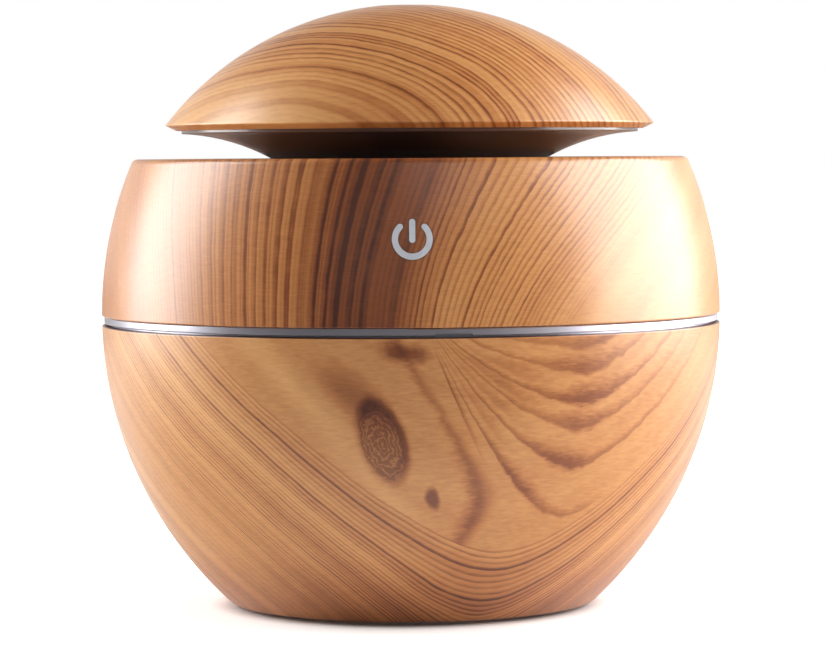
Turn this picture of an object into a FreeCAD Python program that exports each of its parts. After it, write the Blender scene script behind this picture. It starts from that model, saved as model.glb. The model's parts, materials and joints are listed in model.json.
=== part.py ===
import FreeCAD
import Part

import math
import os

from FreeCAD import Vector

# Ball-shaped ultrasonic aroma diffuser. Millimetres. The origin is on the resting plane, on the ball's
# vertical axis. +Z is up, -Y is the front with the touch symbol, and +Y is the back with the power port.

# ---- Driving dimensions -------------------------------------------------------------------------------
CLEAR = 0.05             # gap between pieces that are fitted together
EDGE_ROUND = 0.2         # broken edge on the visible moulded rims

# The ball: one arc that the bowl and the band share, and a part sphere for the lid
BODY_R = 50.5
WIDEST_Z = 47.5
BODY_ARC_R = 63.7
BODY_ARC_CENTRE_R = BODY_R - BODY_ARC_R
WALL = 2.0
SHOULDER_Z = 73.0        # flat top of the band
SHOULDER_ROUND = 1.2
CEILING_Z = SHOULDER_Z - WALL
MOUTH_HOLE_R = 24.0      # opening in the flat top
SEAM_TOP_Z = 47.65       # lower edge of the band
SEAM_BOTTOM_Z = 46.1     # upper edge of the bowl

# Lid
LID_R = 39.9
LID_WALL = 1.8
LID_BEVEL_IN = 1.75
LID_BEVEL_DOWN = 0.85
OUTLET_R = 5.0
OUTLET_STEP = 0.15       # nozzle end below the dome's edge
NOZZLE_WALL = 1.1
NOZZLE_BOTTOM_Z = 86.0
FUNNEL_R = 37.25
FUNNEL_ARC_R = 33.0
FUNNEL_ARC_CENTRE = (38.6, 44.1)
FUNNEL_WALL = 1.5
NECK_R = 19.2
NECK_BORE_R = 16.9
NECK_BOTTOM_Z = 61.6
GROOVE_R = 18.2
GROOVE_Z = (64.0, 67.0)
SPIGOT_BOTTOM_Z = 67.5   # foot of the mist duct, inside the neck

# Filling collar and tank
COLLAR_R = 20.2
COLLAR_WALL = 1.5
COLLAR_BOTTOM_Z = 60.5
SEAT_R = 21.5            # the trumpet rests on this edge
SEAT_DROP = 1.7
TANK_INSET = 4.9         # from the ball's surface to the outside of the tank
TANK_WALL = 1.5
TANK_BOTTOM_Z = 18.5
TANK_FLOOR = 1.7
TANK_CORNER_ROUND = 3.0
FLANGE_R = 48.3
FLANGE_THICK = 1.5
FLANGE_Z = SEAM_BOTTOM_Z - FLANGE_THICK
SLOT_INNER_R = 45.95     # notches in the flange for the hooks and the touch wires
TANK_SEAL_HEIGHT = 0.8
COVER_FOOT_Z = SEAM_BOTTOM_Z + TANK_SEAL_HEIGHT

# Air riser, moulded into the tank at the back left
RISER_ANGLE = 135.0
RISER_TOP_Z = 53.0
RISER_R = (30.5, 41.5)
RISER_HALF_WIDTH = 6.0
RISER_WALL = 1.4

# Light ring
RING_R = 50.1
RING_SHADOW_GAP = 0.32   # dark line under the ring's visible edge
RING_FOOT_R = 49.2
RING_INNER_R = 47.6
RING_UPSTAND_R = 48.4
RING_UPSTAND_Z = 48.6
NOTCH_ANGLE = 277.1      # pry notch in the lower edge, a little right of the front
NOTCH_WIDTH_DEG = 6.5
NOTCH_HEIGHT = 0.3

# Snap hooks that hold the band to the bowl
HOOK_ANGLES = (45.0, 135.0, 225.0, 315.0)
HOOK_WIDTH_DEG = 9.0
SLOT_WIDTH_DEG = 11.0
TOUCH_WIRE_ANGLE = 270.0
LEDGE_R = 47.4
LEDGE_THICK = 0.8
HOOK_R = (46.2, 47.2)
HOOK_ROOT_Z = (49.0, 51.5)
HOOK_BARB = 0.9

# Atomiser
FLOOR_HOLE_R = 7.5
DISC_R = 10.0
DISC_PLATE = 0.25
DISC_CERAMIC_R = 8.0
DISC_CERAMIC = 0.4
DISC_Z = 17.0
SEAL_BORE_R = 8.6
SEAL_R = 12.2
SEAL_HEIGHT = 2.5
RETAINER_R = 14.2
RETAINER_THICK = 1.5
RETAINER_HOLE_R = 6.5
EAR_R = 2.4
SMALL_SCREW_R = 0.9
SMALL_HEAD_R = 1.8
SMALL_HEAD_HEIGHT = 0.95
ATOMISER_SCREW_R = 16.0
ATOMISER_SCREW_ANGLES = (90.0, 210.0, 330.0)
ATOMISER_SCREW_LENGTH = 4.2

# Driver board
BOARD_Z = 12.4
BOARD_THICK = 1.6
BOARD_TOP_Z = BOARD_Z + BOARD_THICK
BOARD_R = 36.0
BOARD_HOLE_R = 19.0
BOARD_SCREW_R = 30.0
BOARD_SCREW_ANGLES = (0.0, 120.0, 240.0)
BOARD_SCREW_LENGTH = 5.5
LED_SIZE = (3.0, 3.0, 1.4)
LED_RING_R = 33.0
LED_ANGLES = (30.0, 150.0, 210.0, 330.0)
COIL_PLACE = (27.0, 60.0)          # radius, angle
COIL_R = 4.0
COIL_HEIGHT = 3.8
TRANSISTOR_PLACE = (26.0, 180.0)
TRANSISTOR_SIZE = (6.0, 6.6, 2.3)
CHIP_PLACE = (26.0, 222.0)
CHIP_SIZE = (4.0, 5.0, 1.5)
CAPACITOR_RING_R = 26.0
CAPACITOR_ANGLES = (300.0, 316.0)
CAPACITOR_R = 2.1
CAPACITOR_HEIGHT = 3.6
HEADER_SIZE = (2.6, 5.0, 2.8)
FAN_HEADER = (24.0, 15.0)
ATOMISER_HEADER = (24.0, 150.0)
TOUCH_HEADER = (31.0, TOUCH_WIRE_ANGLE)

# Micro-USB port at the back
PORT_WIDTH = 7.5
PORT_HEIGHT = 2.6
PORT_FACE_Y = 38.9
PORT_DEPTH = 5.6
PORT_SHEET = 0.3
PORT_ROUND = 0.2
PORT_Z = BOARD_TOP_Z + CLEAR + PORT_HEIGHT / 2
TONGUE_WIDTH = 4.4
TONGUE_THICK = 0.6
WINDOW_WIDTH = 12.4
WINDOW_HEIGHT = 8.0
WINDOW_ROUND = 2.0

# Base
BOWL_BOTTOM_Z = 0.5
BOWL_BOTTOM_ROUND = 1.5
COVER_Z = 0.9
COVER_THICK = 1.8
COVER_TOP_Z = COVER_Z + COVER_THICK
COVER_R = 27.3
LEDGE_BASE_R = 22.0
LEDGE_BASE_THICK = 1.6
LEDGE_TOP_Z = COVER_TOP_Z + CLEAR + LEDGE_BASE_THICK
BASE_SCREW_R = 24.3
BASE_SCREW_ANGLES = (0.0, 90.0, 180.0, 270.0)
BASE_SCREW_LENGTH = 4.2
BOSS_R = 2.3
BOSS_TOP_Z = 7.2
COUNTERBORE = 1.05
FOOT_R = 3.2
FOOT_RING_R = 22.6
FOOT_ANGLES = (45.0, 135.0, 225.0, 315.0)
FOOT_POCKET = 0.5
GRILLE_R = 10.4
GRILLE_SLOT = 1.4
GRILLE_PITCH = 2.6

# Fan
FAN_SIDE = 25.0
FAN_THICK = 7.0
FAN_Z = 4.5
FAN_TOP_Z = FAN_Z + FAN_THICK
FAN_BORE_R = 11.6
FAN_HOLE_OFFSET = 10.0
FAN_HOLE_R = 1.4
FAN_CORNER_ROUND = 2.0
FAN_SCREW_LENGTH = 9.6
SPIDER_THICK = 1.4
SPIDER_HUB_R = 6.4
STRUT_WIDTH = 1.6
STRUT_ROOT = 0.5         # how far a strut runs into the frame
STRUT_ANGLES = (45.0, 165.0, 285.0)
BLADES = 7
BLADE_TIP_R = 11.1
BLADE_PITCH_DEG = 40.0
BLADE_THICK = 0.55
ROTOR_R = 6.2
ROTOR_WALL = 0.6
ROTOR_Z = 4.9
ROTOR_TOP_Z = 9.8
SHAFT_R = 1.0
BEARING_R = 2.0
FAN_COIL_R = 4.5
MAGNET_R = (5.0, 5.55)

# Touch key on the front
SYMBOL_Z = 60.9
SYMBOL_RING_R = 2.6      # middle of the broken ring's stroke
SYMBOL_STROKE = 0.95
SYMBOL_GAP_DEG = 45.0    # from the top to the middle of each stroke end
SYMBOL_BAR = (-0.57, 3.03)
SYMBOL_DEEP = 0.5
SYMBOL_PROUD = 0.06
SYMBOL_CLEAR = 0.1       # dark outline round the strokes
TOUCH_TILT = math.degrees(math.asin((SYMBOL_Z - WIDEST_Z) / BODY_ARC_R))
TOUCH_HALF_WIDTH = 6.6
TOUCH_HALF_HEIGHT = 5.3
TOUCH_GAP = 0.95         # from the band's inner surface to the touch board
TOUCH_THICK = 0.8
TOUCH_CHIP_SIZE = (3.0, 0.6, 3.0)
RAIL_WIDTH = 1.3
RAIL_LIP = 0.9
SPRING_R = (2.2, 3.6)
SPRING_SHEET = 0.15
WIRE_R = 0.45
WIRE_INSET = 3.6         # touch wires, from the ball's surface
TOUCH_WIRE_STATIONS = 7
TOUCH_WIRE_SPREAD_DEG = 1.7
ATOMISER_WIRE_SPREAD = 1.2
FAN_WIRE_SPREAD = 0.7

AXIS = Vector(0, 0, 1)
ORIGIN = Vector(0, 0, 0)


# ---- Drawing helpers ----------------------------------------------------------------------------------
def outline(start, *steps):
    """A closed face in the r-z half plane. A step is a corner (r, z) or an arc ((r, z), (r, z)), which
    gives a point on the arc and its end."""
    first = here = Vector(start[0], 0, start[1])
    edges = []
    for step in steps:
        if isinstance(step[0], tuple):
            middle, end = (Vector(r, 0, z) for r, z in step)
            edges.append(Part.Arc(here, middle, end).toShape())
        else:
            end = Vector(step[0], 0, step[1])
            edges.append(Part.makeLine(here, end))
        here = end
    edges.append(Part.makeLine(here, first))
    return Part.Face(Part.Wire(edges))


def turned(start, *steps):
    """The outline turned all the way round Z."""
    return outline(start, *steps).revolve(ORIGIN, AXIS, 360)


def wedge(angle, width, start, *steps):
    """The outline turned round Z through width degrees, centred on angle."""
    face = outline(start, *steps)
    face.rotate(ORIGIN, AXIS, angle - width / 2)
    return face.revolve(ORIGIN, AXIS, width)


def ring(inner, outer, low, high):
    """A plain ring or disc between two heights."""
    disc = Part.makeCylinder(outer, high - low, Vector(0, 0, low))
    if inner > 0:
        disc = disc.cut(Part.makeCylinder(inner, high - low, Vector(0, 0, low)))
    return disc


def box(x, y, z):
    """A box from three (low, high) pairs."""
    size = [high - low for low, high in (x, y, z)]
    return Part.makeBox(*size, Vector(x[0], y[0], z[0]))


def polar(radius, angle, z=0.0):
    """The point at that radius, angle in degrees and height."""
    a = math.radians(angle)
    return Vector(radius * math.cos(a), radius * math.sin(a), z)


def spun(shape, angle):
    """A copy of the shape turned round Z."""
    copy = shape.copy()
    copy.rotate(ORIGIN, AXIS, angle)
    return copy


def spun_point(point, angle):
    """The point turned round Z."""
    return FreeCAD.Rotation(AXIS, angle).multVec(point)


def posts(radius, low, high, ring_r, angles):
    """Upright cylinders on a circle."""
    return [Part.makeCylinder(radius, high - low, polar(ring_r, a, low)) for a in angles]


def body_radius(z, inset=0.0):
    """Radius of the ball's arc at height z, moved inwards by inset."""
    reach = BODY_ARC_R - inset
    return BODY_ARC_CENTRE_R + math.sqrt(reach**2 - (z - WIDEST_Z) ** 2)


def body_point(z, inset=0.0):
    return (body_radius(z, inset), z)


def body_arc(low, high, inset=0.0):
    """An arc step along the ball from one height to another."""
    return (body_point((low + high) / 2, inset), body_point(high, inset))


def sphere_z(r, inset=0.0):
    """Height of the lid sphere at radius r, moved inwards by inset."""
    return WIDEST_Z + math.sqrt((BODY_R - inset) ** 2 - r**2)


def funnel_z(r, outset=0.0):
    """Height of the trumpet's arc at radius r."""
    centre_r, centre_z = FUNNEL_ARC_CENTRE
    return centre_z + math.sqrt((FUNNEL_ARC_R + outset) ** 2 - (centre_r - r) ** 2)


def rounded_rims(shape, radius, *rims):
    """Fillets the round edges at the given (r, z) pairs."""
    edges = []
    for r, z in rims:
        for edge in shape.Edges:
            curve = edge.Curve
            if not isinstance(curve, Part.Circle) or abs(curve.Axis.z) < 0.999:
                continue
            at_axis = math.hypot(curve.Center.x, curve.Center.y) < 1e-6
            if at_axis and abs(curve.Radius - r) < 1e-3 and abs(curve.Center.z - z) < 1e-3:
                edges.append(edge)
    return shape.makeFillet(radius, edges)


def wire_through(points, radius=WIRE_R):
    """A round wire that follows a smooth curve through the points."""
    curve = Part.BSplineCurve()
    curve.interpolate([Vector(*p) for p in points])
    path = Part.Wire(curve.toShape())
    start, along = curve.value(curve.FirstParameter), curve.tangent(curve.FirstParameter)[0]
    profile = Part.Wire(Part.makeCircle(radius, start, along))
    return path.makePipeShell([profile], True, True)


def screw(seat, length, upwards=True):
    """A small pan-head screw with a cross recess. seat is the middle of the face that the head rests on."""
    r, head_r, head = SMALL_SCREW_R, SMALL_HEAD_R, SMALL_HEAD_HEIGHT
    flat_r = 0.7 * head_r
    shape = turned(
        (0, -head),
        (flat_r, -head),
        ((0.93 * head_r, -0.75 * head), (head_r, -0.3 * head)),
        (head_r, 0),
        (r, 0),
        (r, length - r),
        (r / 3, length),
        (0, length),
    )
    arm, blade, recess = 0.6 * head_r, 0.13 * head_r, 0.55 * head
    for x, y in ((arm, blade), (blade, arm)):
        shape = shape.cut(box((-x, x), (-y, y), (-head, recess - head)))
    if not upwards:
        shape.rotate(ORIGIN, Vector(1, 0, 0), 180)
    shape.translate(seat)
    return shape


def block(size, radius, angle, z):
    """A box (radial, sideways, up) that stands at z, centred on a point of the given circle."""
    deep, wide, high = size
    shape = box((radius - deep / 2, radius + deep / 2), (-wide / 2, wide / 2), (z, z + high))
    return spun(shape, angle)


# ---- Lid ----------------------------------------------------------------------------------------------
def lid_dome():
    rim_z = sphere_z(LID_R)
    rim_in = LID_R - LID_BEVEL_IN
    rim_low = rim_z - LID_BEVEL_DOWN
    pocket_r = FUNNEL_R + CLEAR
    outer_mid = LID_R / 2
    inner_mid = pocket_r / 2
    dome = turned(
        (OUTLET_R, sphere_z(OUTLET_R)),
        ((outer_mid, sphere_z(outer_mid)), (LID_R, rim_z)),
        (rim_in, rim_low),
        (pocket_r, rim_low),
        (pocket_r, sphere_z(pocket_r, LID_WALL)),
        ((inner_mid, sphere_z(inner_mid, LID_WALL)), (OUTLET_R, sphere_z(OUTLET_R, LID_WALL))),
    )
    return rounded_rims(dome, EDGE_ROUND, (LID_R, rim_z), (rim_in, rim_low), (OUTLET_R, sphere_z(OUTLET_R)))


def lid_funnel():
    low_mid = (FUNNEL_R + NECK_R) / 2
    top_mid = (FUNNEL_R + NECK_BORE_R) / 2
    groove_low, groove_high = GROOVE_Z
    funnel = turned(
        (FUNNEL_R, funnel_z(FUNNEL_R)),
        ((low_mid, funnel_z(low_mid)), (NECK_R, funnel_z(NECK_R))),
        (NECK_R, groove_high),
        (GROOVE_R, groove_high),
        (GROOVE_R, groove_low),
        (NECK_R, groove_low),
        (NECK_R, NECK_BOTTOM_Z),
        (NECK_BORE_R, NECK_BOTTOM_Z),
        (NECK_BORE_R, funnel_z(NECK_BORE_R, FUNNEL_WALL)),
        ((top_mid, funnel_z(top_mid, FUNNEL_WALL)), (FUNNEL_R, funnel_z(FUNNEL_R, FUNNEL_WALL))),
    )
    return rounded_rims(funnel, EDGE_ROUND, (FUNNEL_R, funnel_z(FUNNEL_R)), (NECK_R, NECK_BOTTOM_Z))


def mist_duct():
    """Cone that leads the mist from the neck to the outlet. Its end is the nozzle in the dome's hole."""
    wide_r = NECK_BORE_R - CLEAR
    tube_r = OUTLET_R - CLEAR
    top_z = sphere_z(OUTLET_R) - OUTLET_STEP
    spigot_top = funnel_z(NECK_BORE_R, FUNNEL_WALL)
    duct = turned(
        (wide_r, SPIGOT_BOTTOM_Z),
        (wide_r, spigot_top),
        (tube_r, NOZZLE_BOTTOM_Z),
        (tube_r, top_z),
        (tube_r - NOZZLE_WALL, top_z),
        (tube_r - NOZZLE_WALL, NOZZLE_BOTTOM_Z - NOZZLE_WALL),
        (wide_r - NOZZLE_WALL, spigot_top - NOZZLE_WALL),
        (wide_r - NOZZLE_WALL, SPIGOT_BOTTOM_Z),
    )
    return rounded_rims(duct, EDGE_ROUND, (tube_r, top_z), (tube_r - NOZZLE_WALL, top_z))


def neck_seal():
    """Silicone ring with two lips that wipe the filling collar."""
    low, high = GROOVE_Z[0] + CLEAR, GROOVE_Z[1] - CLEAR
    inner, root, tip = GROOVE_R + CLEAR, NECK_R, COLLAR_R - CLEAR
    step = (high - low) / 6
    tip_low, tip_high, lip_end = step, 1.3 * step, 2.6 * step
    return turned(
        (inner, low),
        (root, low),
        (tip, low + tip_low),
        (tip, low + tip_high),
        (root, low + lip_end),
        (root, high - lip_end),
        (tip, high - tip_high),
        (tip, high - tip_low),
        (root, high),
        (inner, high),
    )


# ---- Upper housing ------------------------------------------------------------------------------------
def ball(low, high, inset=0.0):
    """The filled ball between two heights."""
    return turned((0, low), body_point(low, inset), body_arc(low, high, inset), (0, high))


def hook():
    """One snap hook, drawn at angle 0: root on the band's wall, arm, and barb under the bowl's ledge."""
    inner, outer = HOOK_R
    root_low, root_high = HOOK_ROOT_Z
    barb_top = FLANGE_Z - CLEAR - LEDGE_THICK - CLEAR
    wall_r = body_radius(root_low, WALL / 2)
    return wedge(
        0, HOOK_WIDTH_DEG,
        (inner, root_high),
        (wall_r, root_high),
        (wall_r, root_low),
        (outer, root_low),
        (outer, barb_top),
        (outer + HOOK_BARB, barb_top),
        (outer, barb_top - 2 * HOOK_BARB),
        (inner, barb_top - 2 * HOOK_BARB),
    )


def at_touch(shape):
    """Moves a shape from the touch key's own frame, where y = 0 is the band's inner surface and +y points
    to the inside, to its place on the front of the band."""
    shape.rotate(ORIGIN, Vector(1, 0, 0), -TOUCH_TILT)
    inner = BODY_ARC_R - WALL
    tilt = math.radians(TOUCH_TILT)
    shape.translate(Vector(0, -BODY_ARC_CENTRE_R - inner * math.cos(tilt), WIDEST_Z + inner * math.sin(tilt)))
    return shape


def touch_rails():
    """Two grooved rails that hold the touch board by its sides."""
    side = TOUCH_HALF_WIDTH + CLEAR
    back = TOUCH_GAP + TOUCH_THICK + CLEAR
    up = (-TOUCH_HALF_HEIGHT, TOUCH_HALF_HEIGHT)
    rails = []
    for sign in (-1, 1):
        rail = box((side, side + RAIL_WIDTH), (-WALL / 4, back + RAIL_LIP / 2), up)
        lip = box((side - RAIL_LIP, side), (back, back + RAIL_LIP / 2), up)
        rail = rail.fuse(lip)
        if sign < 0:
            rail = rail.mirror(ORIGIN, Vector(1, 0, 0))
        rails.append(at_touch(rail))
    return rails


def symbol_prisms(grow=0.0):
    """The power symbol's two strokes as deep prisms along Y: the broken ring and the bar."""
    half = SYMBOL_STROKE / 2 + grow
    deep = 4 * WALL
    gap = Part.makeCylinder(2 * SYMBOL_RING_R, deep, ORIGIN, AXIS, 2 * SYMBOL_GAP_DEG)
    broken = ring(SYMBOL_RING_R - half, SYMBOL_RING_R + half, 0, deep)
    broken = broken.cut(spun(gap, 90 - SYMBOL_GAP_DEG))
    broken = broken.fuse(posts(half, 0, deep, SYMBOL_RING_R, (90 - SYMBOL_GAP_DEG, 90 + SYMBOL_GAP_DEG)))
    low, high = (end + SYMBOL_STROKE / 2 * side for end, side in zip(SYMBOL_BAR, (1, -1)))
    bar = box((-half, half), (low, high), (0, deep))
    bar = bar.fuse([Part.makeCylinder(half, deep, Vector(0, y, 0)) for y in (low, high)])
    prisms = []
    for stroke in (broken, bar):
        stroke = stroke.removeSplitter()
        stroke.rotate(ORIGIN, Vector(1, 0, 0), 90)
        stroke.translate(Vector(0, -BODY_R + deep / 2, SYMBOL_Z))
        prisms.append(stroke)
    return prisms


def upper_shell():
    outer_top = body_radius(SHOULDER_Z)
    shell = turned(
        body_point(SEAM_TOP_Z),
        body_arc(SEAM_TOP_Z, SHOULDER_Z),
        (MOUTH_HOLE_R, SHOULDER_Z),
        (MOUTH_HOLE_R, CEILING_Z),
        body_point(CEILING_Z, WALL),
        body_arc(CEILING_Z, SEAM_TOP_Z, WALL),
    )
    shell = rounded_rims(shell, SHOULDER_ROUND, (outer_top, SHOULDER_Z))
    shell = rounded_rims(shell, EDGE_ROUND, (MOUTH_HOLE_R, SHOULDER_Z), body_point(SEAM_TOP_Z))
    shell = shell.fuse([spun(hook(), a) for a in HOOK_ANGLES] + touch_rails())
    floor_z = SYMBOL_Z - 2 * SYMBOL_RING_R
    pocket_core = ball(floor_z, floor_z + 4 * SYMBOL_RING_R, SYMBOL_DEEP + SYMBOL_CLEAR)
    for prism in symbol_prisms(SYMBOL_CLEAR):
        shell = shell.cut(prism.cut(pocket_core))
    return shell


def power_symbol():
    floor_z = SYMBOL_Z - 2 * SYMBOL_RING_R
    top_z = SYMBOL_Z + 2 * SYMBOL_RING_R
    skin = ball(floor_z, top_z, -SYMBOL_PROUD).cut(ball(floor_z, top_z, SYMBOL_DEEP))
    return Part.Compound([prism.common(skin).Solids[0] for prism in symbol_prisms()])


def touch_board():
    wide, high = TOUCH_HALF_WIDTH, TOUCH_HALF_HEIGHT
    return at_touch(box((-wide, wide), (TOUCH_GAP, TOUCH_GAP + TOUCH_THICK), (-high, high)))


def touch_spring():
    """Sprung metal dish between the touch board and the back of the symbol."""
    narrow, wide = SPRING_R
    high = TOUCH_GAP - CLEAR
    dish = turned(
        (narrow - SPRING_SHEET, CLEAR),
        (narrow, CLEAR),
        (wide, high),
        (wide - 2 * SPRING_SHEET, high),
    )
    dish.rotate(ORIGIN, Vector(1, 0, 0), -90)
    return at_touch(dish)


def touch_chip():
    wide, deep, high = TOUCH_CHIP_SIZE
    back = TOUCH_GAP + TOUCH_THICK + CLEAR / 2
    return at_touch(box((-wide / 2, wide / 2), (back, back + deep), (-high / 2, high / 2)))


def touch_wires():
    """Three wires that run down between the tank and the outer shells to the driver board."""
    top_z = SYMBOL_Z - TOUCH_HALF_HEIGHT - 2 * WIRE_R
    step = (TANK_BOTTOM_Z - top_z) / (TOUCH_WIRE_STATIONS - 1)
    heights = [top_z + step * i for i in range(TOUCH_WIRE_STATIONS)]
    radius, angle = TOUCH_HEADER
    header_r = radius + HEADER_SIZE[0] / 2
    plug_z = BOARD_TOP_Z + HEADER_SIZE[2] / 2
    wires = []
    for side in (-1, 0, 1):
        at = angle + side * TOUCH_WIRE_SPREAD_DEG
        run = [polar(body_radius(z, WIRE_INSET), at, z) for z in heights]
        run.append(polar(header_r + 3 * WIRE_R, at, plug_z))
        run.append(polar(header_r + 2 * CLEAR, at, plug_z))
        wires.append(wire_through(run))
    return Part.Compound(wires)


# ---- Tank ---------------------------------------------------------------------------------------------
def tank_cover():
    """White liner over the tank, with the filling collar that the lid plugs into."""
    top_z = CEILING_Z - CLEAR
    under_z = top_z - COLLAR_WALL
    seat_z = funnel_z(SEAT_R) - CLEAR
    inner_inset = TANK_INSET + TANK_WALL
    cover = turned(
        body_point(COVER_FOOT_Z, TANK_INSET),
        body_arc(COVER_FOOT_Z, top_z, TANK_INSET),
        (MOUTH_HOLE_R - CLEAR, top_z),
        (MOUTH_HOLE_R - CLEAR, seat_z),
        (SEAT_R, seat_z),
        (COLLAR_R, seat_z - SEAT_DROP),
        (COLLAR_R, COLLAR_BOTTOM_Z),
        (COLLAR_R + COLLAR_WALL, COLLAR_BOTTOM_Z),
        (COLLAR_R + COLLAR_WALL, under_z),
        body_point(under_z, inner_inset),
        body_arc(under_z, COVER_FOOT_Z, inner_inset),
    )
    return rounded_rims(cover, COLLAR_WALL, (body_radius(top_z, TANK_INSET), top_z))


def tank_seal():
    outer = body_radius(COVER_FOOT_Z, TANK_INSET)
    return ring(outer - TANK_WALL, outer, SEAM_BOTTOM_Z + CLEAR / 2, COVER_FOOT_Z - CLEAR / 2)


def riser(shrink, low, high):
    """The air riser's box, made smaller on every side by shrink."""
    near, far = RISER_R
    half = RISER_HALF_WIDTH - shrink
    return spun(box((near + shrink, far - shrink), (-half, half), (low, high)), RISER_ANGLE)


def water_tank():
    inner_inset = TANK_INSET + TANK_WALL
    floor_z = TANK_BOTTOM_Z + TANK_FLOOR
    seal_floor = TANK_BOTTOM_Z - SEAL_HEIGHT - 2 * CLEAR
    cup = turned(
        (FLOOR_HOLE_R, TANK_BOTTOM_Z),
        body_point(TANK_BOTTOM_Z, TANK_INSET),
        body_arc(TANK_BOTTOM_Z, FLANGE_Z, TANK_INSET),
        (FLANGE_R, FLANGE_Z),
        (FLANGE_R, SEAM_BOTTOM_Z),
        body_point(SEAM_BOTTOM_Z, inner_inset),
        body_arc(SEAM_BOTTOM_Z, floor_z, inner_inset),
        (FLOOR_HOLE_R, floor_z),
    )
    cup = rounded_rims(cup, TANK_CORNER_ROUND, body_point(TANK_BOTTOM_Z, TANK_INSET))
    cup = rounded_rims(cup, TANK_CORNER_ROUND - TANK_WALL, body_point(floor_z, inner_inset))
    envelope = ball(TANK_BOTTOM_Z, RISER_TOP_Z, inner_inset - TANK_WALL / 2)
    cup = cup.fuse(riser(0, TANK_BOTTOM_Z + TANK_FLOOR / 2, RISER_TOP_Z).common(envelope))
    cup = cup.cut(riser(RISER_WALL, TANK_BOTTOM_Z - 1, RISER_TOP_Z + 1))
    bosses = posts(EAR_R, seal_floor, TANK_BOTTOM_Z + TANK_FLOOR / 2, ATOMISER_SCREW_R, ATOMISER_SCREW_ANGLES)
    cup = cup.fuse(bosses)
    pilot_top = seal_floor + ATOMISER_SCREW_LENGTH - RETAINER_THICK + 2 * CLEAR
    holes = posts(SMALL_SCREW_R + CLEAR, seal_floor, pilot_top, ATOMISER_SCREW_R, ATOMISER_SCREW_ANGLES)
    slot = (SLOT_INNER_R, FLANGE_Z), (FLANGE_R + 1, FLANGE_Z)
    slot += (FLANGE_R + 1, SEAM_BOTTOM_Z), (SLOT_INNER_R, SEAM_BOTTOM_Z)
    slots = [wedge(a, SLOT_WIDTH_DEG, *slot) for a in HOOK_ANGLES + (TOUCH_WIRE_ANGLE,)]
    return cup.cut(holes + slots)


def light_ring():
    foot_z = SEAM_BOTTOM_Z + CLEAR
    low_z = SEAM_BOTTOM_Z + RING_SHADOW_GAP
    top_z = SEAM_TOP_Z - CLEAR
    shape = turned(
        (RING_INNER_R, foot_z),
        (RING_FOOT_R, foot_z),
        (RING_FOOT_R, low_z),
        (RING_R, low_z),
        (RING_R, top_z),
        (RING_UPSTAND_R, top_z),
        (RING_UPSTAND_R, RING_UPSTAND_Z),
        (RING_INNER_R, RING_UPSTAND_Z),
    )
    shape = rounded_rims(shape, EDGE_ROUND, (RING_R, low_z), (RING_R, top_z))
    inner, outer = RING_FOOT_R + CLEAR, BODY_R
    notch_top = low_z + NOTCH_HEIGHT
    corners = (inner, foot_z), (outer, foot_z), (outer, notch_top), (inner, notch_top)
    return shape.cut(wedge(NOTCH_ANGLE, NOTCH_WIDTH_DEG, *corners))


# ---- Bowl and base ------------------------------------------------------------------------------------
def lower_bowl():
    ledge_top = FLANGE_Z - CLEAR
    ledge_low = ledge_top - LEDGE_THICK
    opening_r = COVER_R + CLEAR
    bowl = turned(
        (opening_r, BOWL_BOTTOM_Z),
        body_point(BOWL_BOTTOM_Z),
        body_arc(BOWL_BOTTOM_Z, SEAM_BOTTOM_Z),
        body_point(SEAM_BOTTOM_Z, WALL),
        body_arc(SEAM_BOTTOM_Z, ledge_top, WALL),
        (LEDGE_R, ledge_top),
        (LEDGE_R, ledge_low),
        body_point(ledge_low, WALL),
        body_arc(ledge_low, LEDGE_TOP_Z, WALL),
        (LEDGE_BASE_R, LEDGE_TOP_Z),
        (LEDGE_BASE_R, COVER_TOP_Z + CLEAR),
        (opening_r, COVER_TOP_Z + CLEAR),
    )
    bowl = rounded_rims(bowl, BOWL_BOTTOM_ROUND, body_point(BOWL_BOTTOM_Z))
    bowl = rounded_rims(bowl, EDGE_ROUND, body_point(SEAM_BOTTOM_Z))
    root_z = LEDGE_TOP_Z - LEDGE_BASE_THICK / 2
    bosses = posts(BOSS_R, root_z, BOSS_TOP_Z, BASE_SCREW_R, BASE_SCREW_ANGLES)
    pillars = posts(BOSS_R, root_z, BOARD_Z - CLEAR, BOARD_SCREW_R, BOARD_SCREW_ANGLES)
    room = ball(root_z, BOARD_Z, WALL / 2)
    bowl = bowl.fuse(bosses + [pillar.common(room) for pillar in pillars])
    pilot_r = SMALL_SCREW_R + CLEAR
    screw_top = COVER_Z + COUNTERBORE + BASE_SCREW_LENGTH + 2 * CLEAR
    screw_low = BOARD_TOP_Z - BOARD_SCREW_LENGTH - 2 * CLEAR
    bowl = bowl.cut(posts(pilot_r, COVER_TOP_Z, screw_top, BASE_SCREW_R, BASE_SCREW_ANGLES))
    bowl = bowl.cut(posts(pilot_r, screw_low, BOARD_Z, BOARD_SCREW_R, BOARD_SCREW_ANGLES))
    return bowl.cut(port_window())


def port_window():
    """Opening in the back of the bowl for the plug."""
    half, tall = WINDOW_WIDTH / 2, WINDOW_HEIGHT / 2
    cutter = box((-half, half), (PORT_FACE_Y - PORT_DEPTH / 2, BODY_R), (PORT_Z - tall, PORT_Z + tall))
    along_y = [e for e in cutter.Edges if abs(e.tangentAt(0).y) > 0.99]
    return cutter.makeFillet(WINDOW_ROUND, along_y)


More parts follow.
